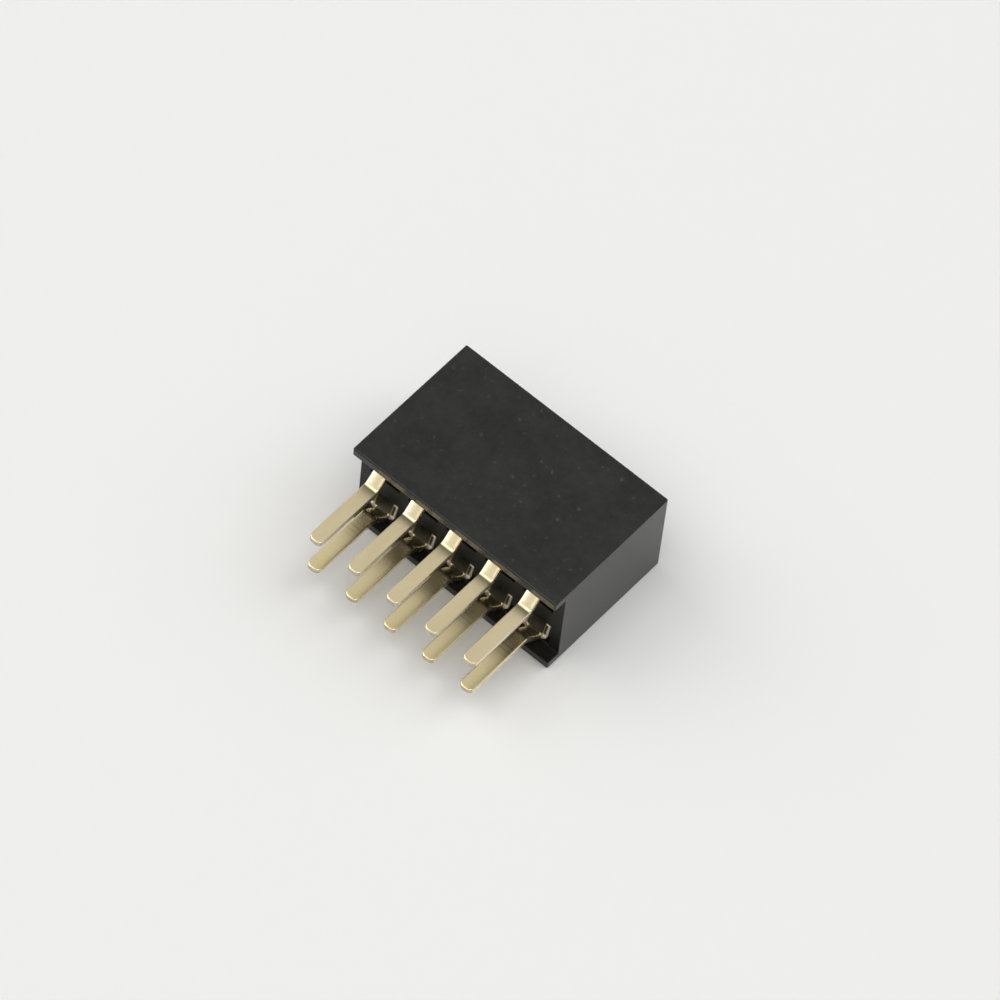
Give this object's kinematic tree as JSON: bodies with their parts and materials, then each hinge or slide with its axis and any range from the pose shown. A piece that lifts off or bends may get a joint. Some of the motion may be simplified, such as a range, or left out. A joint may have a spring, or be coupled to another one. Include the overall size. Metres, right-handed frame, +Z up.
{
  "type": "female pin header strip",
  "caption": "Moulded black socket strip for fine square pins, with facing rows of formed spring contacts that end in flat, cranked solder tails.",
  "frame": {"origin": "middle of the underside of the part's whole box, tails included, lying on one long side", "axes": "+X along the rows of contacts, +Y towards the mating face with the solder tails at -Y, +Z up, across the strip's thickness"},
  "size_m": [0.0066, 0.0066, 0.003],
  "materials": {
    "housing": "matt black moulded thermoplastic",
    "contact": "stamped strip with a pale gold plating, bright along its edges and bends"
  },
  "bodies": {
    "root": {"housing": "housing", "contact_lower_1": "contact", "contact_lower_2": "contact", "contact_lower_3": "contact", "contact_lower_4": "contact", "contact_lower_5": "contact", "contact_upper_1": "contact", "contact_upper_2": "contact", "contact_upper_3": "contact", "contact_upper_4": "contact", "contact_upper_5": "contact"}
  },
  "joints": []
}
